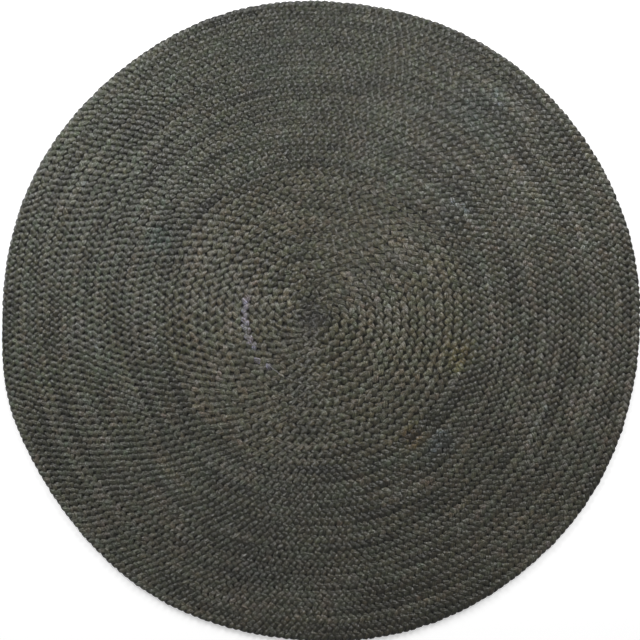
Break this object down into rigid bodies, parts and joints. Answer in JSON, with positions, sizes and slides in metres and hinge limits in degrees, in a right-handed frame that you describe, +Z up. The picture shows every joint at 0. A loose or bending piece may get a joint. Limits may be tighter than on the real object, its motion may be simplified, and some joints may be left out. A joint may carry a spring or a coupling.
{
  "type": "round jute rug",
  "caption": "Round flat rug of braided jute, coiled from the middle and sewn row to row, with ridged rows, a flat underside and a thinned tail at the rim.",
  "frame": {"origin": "the middle of the rug's outline, on the floor it lies on", "axes": "+Z up through the rug's thickness; -X points at the braid's tail on the rim, +Y at the picture's top edge"},
  "size_m": [1.4987, 1.4944, 0.01],
  "materials": {
    "jute": "matte"
  },
  "bodies": {
    "root": {"braided_coil": "jute"}
  },
  "joints": []
}
